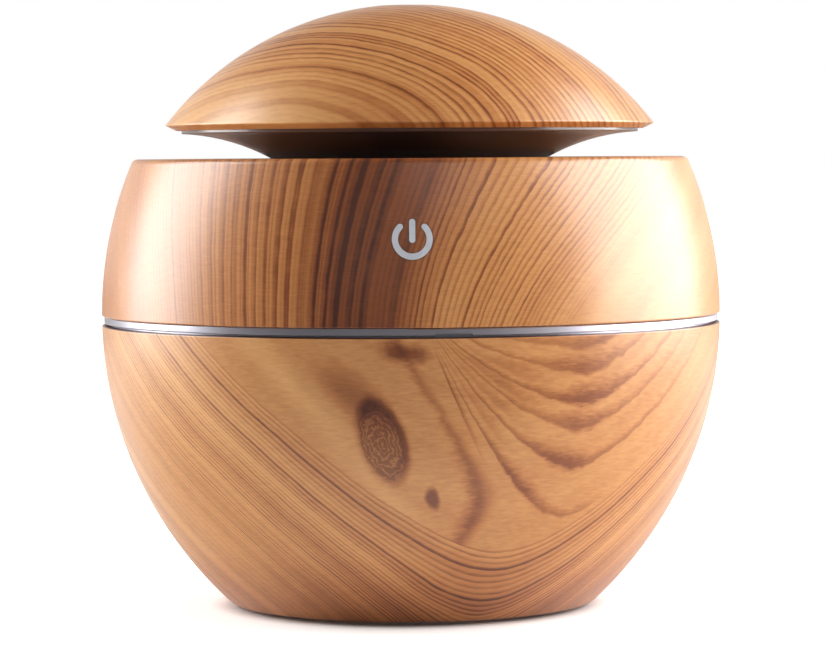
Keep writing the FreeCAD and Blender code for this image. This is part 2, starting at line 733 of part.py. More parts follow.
def base_cover():
    cover = ring(0, COVER_R, COVER_Z, COVER_TOP_Z)
    corners = [Vector(x, y, COVER_Z + COVER_THICK / 2) for x, y in fan_screw_places()]
    cover = cover.fuse([Part.makeCylinder(BOSS_R, FAN_Z - CLEAR - c.z, c) for c in corners])
    count = int((GRILLE_R - GRILLE_SLOT) / GRILLE_PITCH)
    slots = []
    for i in range(-count, count + 1):
        y = i * GRILLE_PITCH
        half = math.sqrt(GRILLE_R**2 - y**2) - GRILLE_SLOT / 2
        slot = box((-half, half), (y - GRILLE_SLOT / 2, y + GRILLE_SLOT / 2), (COVER_Z, COVER_TOP_Z))
        slots.append(slot)
    cover = cover.cut(slots)
    pilot_z = FAN_TOP_Z - FAN_SCREW_LENGTH - 2 * CLEAR
    for x, y in fan_screw_places():
        cover = cover.cut(Part.makeCylinder(SMALL_SCREW_R + CLEAR, FAN_Z - pilot_z, Vector(x, y, pilot_z)))
    head_top = COVER_Z + COUNTERBORE
    cover = cover.cut(posts(SMALL_HEAD_R + 2 * CLEAR, COVER_Z, head_top, BASE_SCREW_R, BASE_SCREW_ANGLES))
    cover = cover.cut(posts(SMALL_SCREW_R + CLEAR, head_top, COVER_TOP_Z, BASE_SCREW_R, BASE_SCREW_ANGLES))
    return cover.cut(posts(FOOT_R + CLEAR, COVER_Z, COVER_Z + FOOT_POCKET, FOOT_RING_R, FOOT_ANGLES))


def rubber_feet():
    top = COVER_Z + FOOT_POCKET - CLEAR
    pad = turned(
        (0, 0),
        (FOOT_R - EDGE_ROUND, 0),
        (FOOT_R, EDGE_ROUND),
        (FOOT_R, top),
        (0, top),
    )
    pads = []
    for angle in FOOT_ANGLES:
        copy = pad.copy()
        copy.translate(polar(FOOT_RING_R, angle))
        pads.append(copy)
    return Part.Compound(pads)


def base_screws():
    head_z = COVER_Z + COUNTERBORE
    places = [polar(BASE_SCREW_R, a, head_z) for a in BASE_SCREW_ANGLES]
    return Part.Compound([screw(place, BASE_SCREW_LENGTH) for place in places])


# ---- Atomiser -----------------------------------------------------------------------------------------
def atomiser_disc():
    """Steel plate with the ceramic under it."""
    plate = Part.makeCylinder(DISC_R, DISC_PLATE, Vector(0, 0, DISC_Z))
    ceramic = Part.makeCylinder(DISC_CERAMIC_R, DISC_CERAMIC, Vector(0, 0, DISC_Z - DISC_CERAMIC))
    return plate.fuse(ceramic)


def atomiser_seal():
    top = TANK_BOTTOM_Z - CLEAR
    low = top - SEAL_HEIGHT
    groove_low = DISC_Z - CLEAR
    groove_high = DISC_Z + DISC_PLATE + CLEAR
    return turned(
        (SEAL_BORE_R, low),
        (SEAL_R, low),
        (SEAL_R, top),
        (SEAL_BORE_R, top),
        (SEAL_BORE_R, groove_high),
        (DISC_R + CLEAR, groove_high),
        (DISC_R + CLEAR, groove_low),
        (SEAL_BORE_R, groove_low),
    )


def retainer_z():
    """Height of the retainer's upper face."""
    return TANK_BOTTOM_Z - SEAL_HEIGHT - 3 * CLEAR


def atomiser_retainer():
    top = retainer_z()
    low = top - RETAINER_THICK
    plate = Part.makeCylinder(RETAINER_R, RETAINER_THICK, Vector(0, 0, low))
    plate = plate.fuse(posts(EAR_R, low, top, ATOMISER_SCREW_R, ATOMISER_SCREW_ANGLES)).removeSplitter()
    plate = plate.cut(Part.makeCylinder(RETAINER_HOLE_R, RETAINER_THICK, Vector(0, 0, low)))
    return plate.cut(posts(SMALL_SCREW_R + CLEAR, low, top, ATOMISER_SCREW_R, ATOMISER_SCREW_ANGLES))


def atomiser_screws():
    seat_z = retainer_z() - RETAINER_THICK
    places = [polar(ATOMISER_SCREW_R, a, seat_z) for a in ATOMISER_SCREW_ANGLES]
    return Part.Compound([screw(place, ATOMISER_SCREW_LENGTH) for place in places])


def atomiser_wires():
    radius, angle = ATOMISER_HEADER
    start_z = DISC_Z - DISC_CERAMIC - CLEAR
    start_r = RETAINER_HOLE_R / 2
    under_z = (FAN_TOP_Z + SMALL_HEAD_HEIGHT + retainer_z() - RETAINER_THICK) / 2
    plug_z = BOARD_TOP_Z + HEADER_SIZE[2] / 2
    plug_r = radius - HEADER_SIZE[0] / 2 - 2 * CLEAR
    thick = 2 * WIRE_R
    stations = (
        (start_r, start_z),
        (start_r + thick / 2, (start_z + under_z) / 2),
        (RETAINER_HOLE_R, under_z),
        (RETAINER_R - 2 * thick, under_z),
        (ATOMISER_SCREW_R, under_z + thick / 4),
        (BOARD_HOLE_R, plug_z - thick / 2),
        (plug_r - 1.5 * thick, plug_z),
        (plug_r, plug_z),
    )
    wires = []
    for side in (-ATOMISER_WIRE_SPREAD, ATOMISER_WIRE_SPREAD):
        run = [spun_point(Vector(r, side, z), angle) for r, z in stations]
        wires.append(wire_through(run))
    return Part.Compound(wires)


# ---- Driver board -------------------------------------------------------------------------------------
def main_board():
    board = ring(BOARD_HOLE_R, BOARD_R, BOARD_Z, BOARD_TOP_Z)
    return board.cut(posts(SMALL_SCREW_R + CLEAR, BOARD_Z, BOARD_TOP_Z, BOARD_SCREW_R, BOARD_SCREW_ANGLES))


def board_screws():
    places = [polar(BOARD_SCREW_R, a, BOARD_TOP_Z) for a in BOARD_SCREW_ANGLES]
    return Part.Compound([screw(place, BOARD_SCREW_LENGTH, upwards=False) for place in places])


def drive_coil():
    """Drum core with its winding between two cheeks."""
    cheek = COIL_HEIGHT / 5
    waist_r = COIL_R - cheek
    coil = turned(
        (0, 0),
        (COIL_R, 0),
        (COIL_R, cheek),
        (waist_r, cheek),
        (waist_r, COIL_HEIGHT - cheek),
        (COIL_R, COIL_HEIGHT - cheek),
        (COIL_R, COIL_HEIGHT),
        (0, COIL_HEIGHT),
    )
    coil.translate(polar(*COIL_PLACE, BOARD_TOP_Z + CLEAR / 2))
    return coil


def on_board(size, radius, angle):
    """A component's box on the upper face of the driver board."""
    return block(size, radius, angle, BOARD_TOP_Z + CLEAR / 2)


def drive_transistor():
    return on_board(TRANSISTOR_SIZE, *TRANSISTOR_PLACE)


def controller_chip():
    return on_board(CHIP_SIZE, *CHIP_PLACE)


def capacitors():
    low = BOARD_TOP_Z + CLEAR / 2
    cans = posts(CAPACITOR_R, low, low + CAPACITOR_HEIGHT, CAPACITOR_RING_R, CAPACITOR_ANGLES)
    return Part.Compound(cans)


def leds():
    return Part.Compound([on_board(LED_SIZE, LED_RING_R, a) for a in LED_ANGLES])


def wire_headers():
    return Part.Compound([on_board(HEADER_SIZE, *at) for at in (FAN_HEADER, ATOMISER_HEADER, TOUCH_HEADER)])


def usb_port():
    """Folded steel shell of the port, open to the back."""
    half, tall, sheet = PORT_WIDTH / 2, PORT_HEIGHT / 2, PORT_SHEET
    low_y = PORT_FACE_Y - PORT_DEPTH
    shell = box((-half, half), (low_y, PORT_FACE_Y), (PORT_Z - tall, PORT_Z + tall))
    along_y = [e for e in shell.Edges if abs(e.tangentAt(0).y) > 0.99]
    shell = shell.makeFillet(PORT_ROUND, along_y)
    return shell.cut(box((sheet - half, half - sheet), (low_y + sheet, PORT_FACE_Y),
                         (PORT_Z - tall + sheet, PORT_Z + tall - sheet)))


def usb_tongue():
    half, tall = TONGUE_WIDTH / 2, TONGUE_THICK / 2
    low_y = PORT_FACE_Y - PORT_DEPTH + PORT_SHEET + CLEAR / 2
    return box((-half, half), (low_y, PORT_FACE_Y - PORT_DEPTH / 5), (PORT_Z - tall, PORT_Z + tall))


# ---- Fan ----------------------------------------------------------------------------------------------
def fan_screw_places():
    return [(sign * FAN_HOLE_OFFSET, sign * FAN_HOLE_OFFSET) for sign in (-1, 1)]


def fan_frame():
    half = FAN_SIDE / 2
    frame = box((-half, half), (-half, half), (FAN_Z, FAN_TOP_Z))
    frame = frame.makeFillet(FAN_CORNER_ROUND, [e for e in frame.Edges if abs(e.tangentAt(0).z) > 0.99])
    frame = frame.cut(ring(0, FAN_BORE_R, FAN_Z, FAN_TOP_Z))
    low = FAN_TOP_Z - SPIDER_THICK
    struts = [ring(0, SPIDER_HUB_R, low, FAN_TOP_Z)]
    for angle in STRUT_ANGLES:
        strut = box((0, FAN_BORE_R + STRUT_ROOT), (-STRUT_WIDTH / 2, STRUT_WIDTH / 2), (low, FAN_TOP_Z))
        struts.append(spun(strut, angle))
    frame = frame.fuse(struts).removeSplitter()
    frame = frame.cut(ring(0, BEARING_R + CLEAR, low, FAN_TOP_Z))
    offset = FAN_HOLE_OFFSET
    holes = [Vector(x, y, FAN_Z) for x in (-offset, offset) for y in (-offset, offset)]
    return frame.cut([Part.makeCylinder(FAN_HOLE_R, FAN_THICK, at) for at in holes])


def fan_bearing():
    """Sleeve bearing, closed at the top, held by the frame's spider."""
    low = ROTOR_Z + ROTOR_WALL + 2 * CLEAR
    bore_top = FAN_TOP_Z - SPIDER_THICK / 2
    return ring(0, BEARING_R, low, FAN_TOP_Z).cut(ring(0, SHAFT_R + CLEAR / 2, low, bore_top))


def fan_coil():
    low = ROTOR_Z + 2 * ROTOR_WALL
    return ring(BEARING_R + CLEAR / 2, FAN_COIL_R, low, FAN_TOP_Z - SPIDER_THICK - CLEAR / 2)


def fan_screws():
    places = [Vector(x, y, FAN_TOP_Z) for x, y in fan_screw_places()]
    return Part.Compound([screw(place, FAN_SCREW_LENGTH, upwards=False) for place in places])


def fan_wires():
    radius, angle = FAN_HEADER
    plug_z = BOARD_TOP_Z + HEADER_SIZE[2] / 2
    plug_r = radius - HEADER_SIZE[0] / 2 - 2 * CLEAR
    start_r = FAN_SIDE / 2 / math.cos(math.radians(angle)) + 6 * CLEAR
    thick = 2 * WIRE_R
    start_z = FAN_TOP_Z - 2 * thick
    stations = (
        (start_r, start_z),
        (start_r + 2 * thick, start_z + thick / 2),
        (BOARD_HOLE_R - 2 * thick, BOARD_Z - thick / 2),
        (BOARD_HOLE_R - thick, BOARD_TOP_Z + thick / 2),
        (plug_r - 2 * thick, plug_z),
        (plug_r, plug_z),
    )
    wires = []
    for side in (-FAN_WIRE_SPREAD, FAN_WIRE_SPREAD):
        run = [spun_point(Vector(r, side, z), angle) for r, z in stations]
        wires.append(wire_through(run))
    return Part.Compound(wires)


def fan_rotor():
    high = ROTOR_TOP_Z
    cup = turned(
        (SHAFT_R, ROTOR_Z),
        (ROTOR_R, ROTOR_Z),
        (ROTOR_R, high),
        (ROTOR_R - ROTOR_WALL, high),
        (ROTOR_R - ROTOR_WALL, ROTOR_Z + ROTOR_WALL),
        (SHAFT_R, ROTOR_Z + ROTOR_WALL),
    )
    sweep = ring(ROTOR_R - ROTOR_WALL / 2, BLADE_TIP_R, ROTOR_Z + CLEAR, high - CLEAR)
    middle_z = (ROTOR_Z + high) / 2
    half, thick = FAN_THICK, BLADE_THICK / 2
    blade = box((0, FAN_BORE_R), (-thick, thick), (-half, half))
    blade.rotate(ORIGIN, Vector(1, 0, 0), BLADE_PITCH_DEG)
    blade.translate(Vector(0, 0, middle_z))
    blade = blade.common(sweep)
    blades = [spun(blade, 360 * i / BLADES) for i in range(BLADES)]
    return cup.fuse(blades)


def fan_magnet():
    inner, outer = MAGNET_R
    return ring(inner, outer, ROTOR_Z + ROTOR_WALL + CLEAR / 2, ROTOR_TOP_Z - ROTOR_WALL)


def fan_shaft():
    return ring(0, SHAFT_R - CLEAR / 5, ROTOR_Z, FAN_TOP_Z - SPIDER_THICK / 2 - CLEAR)


# ---- Output -------------------------------------------------------------------------------------------
NODES = (
    lid_dome, lid_funnel, mist_duct, neck_seal,
    upper_shell, power_symbol, touch_board, touch_spring, touch_chip, touch_wires,
    tank_cover, tank_seal, water_tank, light_ring,
    lower_bowl, base_cover, rubber_feet, base_screws,
    atomiser_disc, atomiser_seal, atomiser_retainer, atomiser_screws, atomiser_wires,
    main_board, board_screws, drive_coil, drive_transistor, controller_chip, capacitors, leds, wire_headers,
    usb_port, usb_tongue,
    fan_frame, fan_bearing, fan_coil, fan_screws, fan_wires, fan_rotor, fan_magnet, fan_shaft,
)

os.makedirs("parts", exist_ok=True)
for node in NODES:
    node().exportStep(f"parts/{node.__name__}.step")
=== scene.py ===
import json
import math

import bpy
from mathutils import Matrix, Vector


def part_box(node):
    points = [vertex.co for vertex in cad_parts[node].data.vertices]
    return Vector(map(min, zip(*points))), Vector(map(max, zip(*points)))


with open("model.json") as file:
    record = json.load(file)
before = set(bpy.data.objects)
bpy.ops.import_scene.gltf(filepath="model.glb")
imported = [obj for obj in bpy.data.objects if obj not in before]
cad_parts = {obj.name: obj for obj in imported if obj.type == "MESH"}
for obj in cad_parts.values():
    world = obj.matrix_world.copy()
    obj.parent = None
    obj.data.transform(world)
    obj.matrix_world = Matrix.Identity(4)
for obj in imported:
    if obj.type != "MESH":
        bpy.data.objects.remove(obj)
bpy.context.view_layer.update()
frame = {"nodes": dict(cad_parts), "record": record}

# Lengths in the materials are millimetres; places of lights and camera are metres, in the CAD frame.
MM = 0.001
NODES = frame["nodes"]
BALL_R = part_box("upper_shell")[1].x / MM          # widest radius
SEAM_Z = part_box("lower_bowl")[1].z / MM           # upper edge of the bowl
DOME_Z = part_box("lid_dome")[0].z / MM             # rim of the lid
BAND_FOOT_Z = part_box("upper_shell")[0].z / MM     # lower edge of the band


# ---- Formulas as shader nodes -------------------------------------------------------------------------
class Field:
    """A number known at every shading point, so that a material can be written as a formula."""

    def __init__(self, tree, socket):
        self.tree = tree
        self.socket = socket

    def math(self, operation, *others):
        node = self.tree.nodes.new("ShaderNodeMath")
        node.operation = operation
        for slot, value in zip(node.inputs, (self, *others)):
            feed(slot, value)
        return Field(self.tree, node.outputs[0])

    def __add__(self, other):
        return self.math("ADD", other)

    def __sub__(self, other):
        return self.math("SUBTRACT", other)

    def __rsub__(self, other):
        return (self * -1.0) + other

    def __mul__(self, other):
        return self.math("MULTIPLY", other)

    def __truediv__(self, other):
        return self.math("DIVIDE", other)

    def __pow__(self, power):
        return self.math("POWER", power)

    __radd__ = __add__
    __rmul__ = __mul__

    def sin(self):
        return self.math("SINE")

    def sqrt(self):
        return self.math("SQRT")

    def squared(self):
        return self * self

    def most(self, other):
        return self.math("MAXIMUM", other)

    def least(self, other):
        return self.math("MINIMUM", other)

    def step(self, low, high):
        """0 below low, 1 above high, and a smooth rise between them. Falls instead when low is above high."""
        if low > high:
            return 1.0 - self.step(high, low)
        node = self.tree.nodes.new("ShaderNodeMapRange")
        node.interpolation_type = "SMOOTHSTEP"
        feed(node.inputs["Value"], self)
        node.inputs["From Min"].default_value = low
        node.inputs["From Max"].default_value = high
        return Field(self.tree, node.outputs["Result"])

    def bell(self, middle, width):
        """A bump of height 1 at middle that falls to 1/e at width from it."""
        return (((self - middle) / width).squared() * -1.0).math("EXPONENT")

    def noise(self, size, detail=1.0, seed=0.0):
        """Noise along this number, from -1 to 1, with features about size long."""
        node = self.tree.nodes.new("ShaderNodeTexNoise")
        node.noise_dimensions = "1D"
        feed(node.inputs["W"], self / size + seed)
        node.inputs["Scale"].default_value = 1.0
        node.inputs["Detail"].default_value = detail
        return Field(self.tree, node.outputs[0]) * 2.0 - 1.0


def feed(slot, value):
    """Puts a field, a socket or a plain value into a node's input."""
    if isinstance(value, Field):
        value.tree.links.new(value.socket, slot)
    elif isinstance(value, bpy.types.NodeSocket):
        value.id_data.links.new(value, slot)
    else:
        slot.default_value = value


class Paint:
    """A material with a Principled surface, and the fields that its formulas start from."""

    def __init__(self, name):
        self.material = bpy.data.materials.new(name)
        self.material.use_nodes = True
        self.tree = self.material.node_tree
        self.surface = self.tree.nodes["Principled BSDF"]
        place = self.tree.nodes.new("ShaderNodeTexCoord").outputs["Object"]
        scale = self.tree.nodes.new("ShaderNodeVectorMath")
        scale.operation = "SCALE"
        feed(scale.inputs[0], place)
        scale.inputs["Scale"].default_value = 1.0 / MM
        self.place = scale.outputs[0]
        split = self.tree.nodes.new("ShaderNodeSeparateXYZ")
        feed(split.inputs[0], self.place)
        self.x, self.y, self.z = (Field(self.tree, socket) for socket in split.outputs)

    def noise(self, size, detail=2.0, stretch=(1.0, 1.0, 1.0), seed=0.0):
        """Noise in space, from -1 to 1. size is the feature size; stretch makes it longer along an axis."""
        mapping = self.tree.nodes.new("ShaderNodeMapping")
        feed(mapping.inputs["Vector"], self.place)
        mapping.inputs["Location"].default_value = (seed, seed * 0.7, seed * 1.3)
        mapping.inputs["Scale"].default_value = [1.0 / (size * s) for s in stretch]
        node = self.tree.nodes.new("ShaderNodeTexNoise")
        feed(node.inputs["Vector"], mapping.outputs[0])
        node.inputs["Scale"].default_value = 1.0
        node.inputs["Detail"].default_value = detail
        return Field(self.tree, node.outputs[0]) * 2.0 - 1.0

    def mix(self, amount, below, above):
        """Colour below where amount is 0, above where it is 1."""
        node = self.tree.nodes.new("ShaderNodeMix")
        node.data_type = "RGBA"
        node.clamp_factor = True
        feed(node.inputs["Factor"], amount)
        feed(node.inputs["A"], below)
        feed(node.inputs["B"], above)
        return node.outputs["Result"]

    def ramp(self, amount, stops):
        """Colour from (amount, colour) stops, blended between them."""
        node = self.tree.nodes.new("ShaderNodeValToRGB")
        top = stops[-1][0]
        feed(node.inputs[0], amount / top)
        marks = node.color_ramp.elements
        while len(marks) < len(stops):
            marks.new(0.5)
        for mark, (place, colour) in zip(marks, stops):
            mark.position = place / top
            mark.color = colour
        return node.outputs[0]

    def colour(self, value):
        feed(self.surface.inputs["Base Color"], value)

    def roughness(self, value):
        feed(self.surface.inputs["Roughness"], value)

    def bump(self, height, depth):
        """Relief of depth millimetres where height goes from 0 to 1."""
        node = self.tree.nodes.new("ShaderNodeBump")
        node.inputs["Distance"].default_value = depth * MM
        feed(node.inputs["Height"], height)
        feed(self.surface.inputs["Normal"], node.outputs[0])

    def set(self, **values):
        for name, value in values.items():
            feed(self.surface.inputs[name.replace("_", " ")], value)


def rgb(red, green, blue):
    """A display colour, 0 to 255, as a linear colour."""
    def linear(c):
        c /= 255.0
        return c / 12.92 if c <= 0.04045 else ((c + 0.055) / 1.055) ** 2.4
    return (linear(red), linear(green), linear(blue), 1.0)


# ---- Wood print ---------------------------------------------------------------------------------------
WOOD_TONES = (
    (0.0, rgb(246, 184, 114)),
    (0.5, rgb(208, 134, 70)),
    (1.0, rgb(154, 80, 30)),
    (1.6, rgb(88, 36, 8)),
)
KNOT_WOOD = rgb(98, 42, 16)


def growth_lines(u, spacing, seed):
    """Darkness, 0 to 1, of growth lines on the level curves of u. Each one darkens slowly and ends sharply,
    and their spacing and strength differ."""
    count = u / spacing + u.noise(spacing * 6.0, 1.0, seed) * 0.8
    part = count.math("FRACT")
    strength = count.math("FLOOR").noise(1.3, 0.0, seed + 31.0) * 0.8 + 0.68
    return part.step(0.35, 0.8) * part.step(1.0, 0.88) * strength.most(0.1)


def finish_wood(paint, lines, tone, knot):
    """Colours a wood print from its line and tone fields and gives it the satin coat."""
    fleck = paint.noise(0.45, 3.0, (4.0, 4.0, 0.6), 5.0)
    cloud = paint.noise(15.0, 2.0, seed=9.0)
    fading = paint.noise(3.0, 2.0, seed=2.0) * 0.5 + 0.9
    shade = tone + cloud * 0.1 + fleck * 0.16 + lines * fading * (tone * 0.5 + 0.45)
    colour = paint.ramp(shade, WOOD_TONES)
    paint.colour(paint.mix(knot, colour, KNOT_WOOD))
    paint.roughness(0.38 + fleck * 0.03 + cloud * 0.02)
    paint.bump(lines * -0.6 + fleck * 0.25, 0.015)
    paint.set(Coat_Weight=1.0, Coat_Roughness=0.33, Coat_IOR=1.75, Specular_IOR_Level=0.1)
    return paint.material


def round_the_ball(paint):
    """Distances round the ball in mm, at its widest, from the front and from the back."""
    front = paint.x.math("ARCTAN2", paint.y * -1.0) * BALL_R
    back = (paint.x * -1.0).math("ARCTAN2", paint.y) * BALL_R
    return front, back


def front_to_back(paint, grain, shift):
    """The fields of grain(around, seed) on the front, which run over into another print on the back, moved by
    shift mm."""
    front, back = round_the_ball(paint)
    behind = paint.y.step(20.0, 36.0)
    return [a * (1.0 - behind) + b * behind for a, b in zip(grain(front, 20.0), grain(back + shift, 47.0))]


def dome_wood():
    """Nested arcs round a point low on the left, which fall steeply to the right."""
    paint = Paint("wood_dome")
    dx = paint.x + 21.6
    across = dx.least(0.0) / 1.96 + dx.most(0.0) / 1.61
    up = paint.z - (DOME_Z - 7.4) + (paint.y + 30.0) * 0.14
    u = (across.squared() + up.squared()).sqrt()
    u = u + paint.noise(15.0, 1.0, seed=1.0) * 0.5 + paint.noise(2.0, 2.0, seed=4.0) * 0.1
    high = u.step(12.0, 22.0)
    lines = growth_lines(u + (u - 22.0).most(0.0) * 0.45, 0.95, 3.0) * (high * 0.85 + 0.15)
    lines = lines + growth_lines(u, 3.1, 8.0) * (high * -0.1 + 0.45) + u.bell(22.6, 0.5) * 0.35
    lines = lines * 1.3
    tone = u.noise(3.4, 1.0, 12.0) * 0.1 + 0.16 + high * 0.1 + u.bell(36.0, 1.5) * -0.12
    # Painted light and shade: the lower front of the dome is made darker, where the side lamps only graze it,
    # and the left side lighter, where the left lamp falls.
    tone = tone + paint.x.bell(-2.0, 10.0) * (1.0 - high) * 0.28 - paint.x.step(-12.0, -36.0) * 0.14
    return finish_wood(paint, lines, tone, tone * 0.0)


def band_wood():
    """Upright lines that lean more and more to the right, and a broad dark stripe left of the symbol."""
    paint = Paint("wood_band")

    def grain(around, seed):
        rise = paint.z - BAND_FOOT_Z
        bent = rise.squared()
        u = around - bent * 0.01
        u = u.least(0.0) / (bent * 0.00045 + 1.0) + u.most(0.0) / (bent * 0.001 + rise * 0.013 + 1.0)
        u = u + paint.noise(18.0, 1.0, (1.0, 1.0, 2.0), seed) * 0.5
        u = u + paint.noise(1.6, 2.0, (1.0, 1.0, 2.5), seed) * 0.14
        stripe = u.step(-20.0, -10.0) * u.step(5.0, -6.0)
        left = u.step(-7.0, -14.0)
        clear = 1.0 - stripe * 0.7
        lines = growth_lines(u, 0.8, seed + 1.0) * (1.0 - left) * u.step(26.0, 12.0) * clear
        lines = lines + growth_lines(u, 1.9, seed + 5.0) * left * u.step(-42.0, -24.0)
        lines = lines + growth_lines(u, 0.7, seed + 9.0) * left * 0.4
        lines = lines + u.bell(-12.2, 0.5) * 0.45 + u.bell(-8.2, 0.4) * 0.5 + u.bell(-3.6, 0.4) * 0.35
        tone = u.noise(6.0, 1.0, seed + 2.0) * 0.12 + 0.34 + stripe * 0.70 + left * 0.12
        return lines, tone

    lines, tone = front_to_back(paint, grain, -8.0)
    return finish_wood(paint, lines, tone, tone * 0.0)


def ellipse(across, up, half, tilt):
    """0 at the centre of a tilted ellipse, 1 on its edge. tilt is in degrees, to the left at the top."""
    c, s = math.cos(math.radians(tilt)), math.sin(math.radians(tilt))
    along = (across * c + up * s) / half[0]
    upright = (up * c - across * s) / half[1]
    return (along.squared() + upright.squared()).sqrt()


# Broad rings of the bowl: distance under the top of the fan where each one turns, its strength, the
# distance round the ball where it is widest, and the one where it has faded out
BROAD_RINGS = (
    (5.6, 0.7, 29.0, 60.0),
    (9.3, 0.8, 28.0, 60.0),
    (12.2, 0.25, 16.0, 24.0),
    (14.3, 1.0, 29.0, 60.0),
    (16.3, 0.35, 15.0, 22.0),
    (18.2, 0.8, 28.0, 60.0),
    (21.3, 0.25, 13.0, 20.0),
    (24.2, 1.0, 25.0, 70.0),
    (28.0, 0.2, 12.0, 18.0),
    (32.4, 0.9, 18.0, 38.0),
    (38.5, 0.7, 7.0, 13.0),
)
FAN_TOP_Z = SEAM_Z + 3.9   # the fan's root, hidden above the seam
FAN_ROOT = 1.0             # and its distance to the right of the front
FAN_TURN = 30.0            # the bands turn upwards again here


def broad_rings(paint, around, ripple, speckle):
    """Bands that spread from one point above the seam in a fan, then turn and climb again on the right."""
    along = ((around - FAN_ROOT) / (FAN_TURN - FAN_ROOT)).most(0.03).least(1.0)
    right = (around - FAN_TURN + 3.0).most(0.0)
    climb = ((right.squared() + 36.0).sqrt() - 6.0) * 0.46 + right.squared() * 0.009
    ring = (FAN_TOP_Z - paint.z) / (along * (2.0 - along)) + climb
    ring = ring + ripple * 0.8
    total = ring * 0.0
    for level, strength, widest, reach in BROAD_RINGS:
        wide = around.bell(widest, 6.0)
        past = (ring - level + speckle * (wide * 0.6 + 0.25)) / (wide * 0.8 + 0.4)
        edge = past.least(0.0) / 1.8 + past.most(0.0) / 0.55
        shown = around.step(reach, reach - 8.0) * (wide * 0.5 + 0.55) * strength
        total = total.most(edge.bell(0.0, 1.0) * shown)
    return total * along.step(0.04, 0.14) * (around.step(52.0, 38.0) * 0.5 + 0.5)


def knot(paint, across, up, half, tilt, ripple):
    """Darkness of a knot, and where its core is: a broad rim, darkest up on the right, round fine contours."""
    rim = ellipse(across, up, half, tilt) + ripple * 0.1
    core = rim.step(1.05, 0.8)
    swirl = rim * 34.0 + paint.noise(1.6, 2.0, seed=11.0) * 9.0 + paint.noise(0.4, 2.0, seed=13.0) * 4.0
    contour = swirl.sin().step(0.0, 0.8) * core
    side = (across * 0.8 + up * 0.6).step(-3.0, 3.0)
    edge = rim.bell(0.98, 0.17) * (side * 0.7 + 0.3)
    return edge * 0.75 + core * 0.5 - contour * 0.32, core * (1.0 - contour * 0.4)


def bowl_wood():
    """Fine lines in a big lopsided U, broad bands inside it on the right, and two knots."""
    paint = Paint("wood_bowl")
    wobble = paint.noise(14.0, 1.0, seed=3.0)
    ripple = paint.noise(2.5, 2.0, seed=6.0)
    speckle = paint.noise(0.7, 2.0, (2.5, 2.5, 0.6), 8.0)
    depth = (SEAM_Z - 0.6) - paint.z

    def grain(around, seed):
        side = (around - 17.0) * 0.99
        rise = (side.squared() + 625.0).sqrt() - 25.0
        u = depth - 33.0 + rise + wobble * 0.6 + ripple * 0.1
        outside = u.step(-0.6, 0.2)
        lines = growth_lines(u + u.most(0.0).squared() * 0.016, 1.15, seed + 1.0) * outside * 1.15
        tone = u.noise(5.0, 1.0, seed + 4.0) * (outside * 0.12 + 0.15) + 0.30
        # Painted light: the fine-lined part is made lighter towards the left, where the left lamp falls.
        tone = tone - around.step(-14.0, -34.0) * 0.14 * outside
        return lines, tone, outside

    lines, tone, outside = front_to_back(paint, grain, 60.0)
    around = round_the_ball(paint)[0]
    inside = (1.0 - outside) * paint.y.step(0.0, -15.0)

    bands = broad_rings(paint, around, ripple, speckle)
    bend = 13.0 - ((paint.z - 21.0).squared() * 0.4 + 2.5).sqrt()
    low = paint.z.bell(20.0, 8.0)
    streak = ((around - bend + speckle * 0.7 + ripple * 0.5) / (low * 1.1 + 0.8)).bell(0.0, 1.0)
    streak = streak * (low * 0.5 + 0.45) * paint.z.step(9.0, 15.0)

    pale = ((around + 14.5) + (paint.z - 33.5) * 0.86).bell(0.0, 3.0)
    smear = ellipse(around + 9.0, paint.z - 37.5, (3.0, 7.0), 50.0).step(1.4, 0.2)
    spot = (ellipse(around + 1.5, paint.z - 44.0, (4.0, 1.6), -10.0) + ripple * 0.6).step(1.4, 0.1)
    dark, core = knot(paint, around + 5.0, paint.z - 30.2, (3.5, 6.4), 18.0, ripple)
    small = (ellipse(around - 3.2, paint.z - 21.6, (1.0, 1.5), 20.0) + ripple * 0.6).step(1.5, 0.5)

    marks = bands * 0.72 + streak * 0.7 + smear * 0.45 + spot * 0.7 + dark + small * 0.7 - pale * 0.2
    tone = tone + (marks + speckle * 0.14 + 0.05) * inside
    # Painted shade: the bowl is made darker towards the foot, where the floor shades it.
    tone = tone + paint.z.step(14.0, 1.0) * 0.34
    # Painted shade: the top of the bowl's rim is made dark, standing for the shadow in the gap under the light
    # ring.
    painted_gap_shade = paint.z.step(SEAM_Z - 0.12, SEAM_Z - 0.04)
    knots = (core * 0.45 + small * 0.3 + spot * 0.2) * inside
    return finish_wood(paint, lines, tone + painted_gap_shade * 2.0, knots)


# ---- Other materials ----------------------------------------------------------------------------------
def moulded(name, colour, rough, grain=0.25, depth=0.01, shift=0.12):
    """Moulded plastic or rubber: fine texture, slightly uneven colour and gloss."""
    paint = Paint(name)
    texture = paint.noise(grain, 3.0)
    cloud = paint.noise(12.0, 2.0, seed=3.0)
    darker = tuple(c * (1.0 - shift) for c in colour[:3]) + (1.0,)
    paint.colour(paint.mix(cloud * 0.6 + texture * 0.25 + 0.5, darker, colour))
    paint.roughness(rough + texture * 0.05 + cloud * 0.04)
    paint.bump(texture, depth)
    return paint


def metal(name, colour, rough, brushed=(1.0, 1.0, 1.0)):
    """Metal with a brushed or plain finish and faint handling marks."""
    paint = Paint(name)
    lines = paint.noise(0.12, 3.0, brushed)
    marks = paint.noise(2.5, 4.0, seed=8.0)
    dull = tuple(c * 0.72 for c in colour[:3]) + (1.0,)
    paint.colour(paint.mix(marks * 0.5 + lines * 0.3 + 0.5, dull, colour))
    paint.roughness(rough + marks * 0.07 + lines * 0.05)
    paint.bump(lines, 0.004)
    paint.set(Metallic=1.0)
    return paint


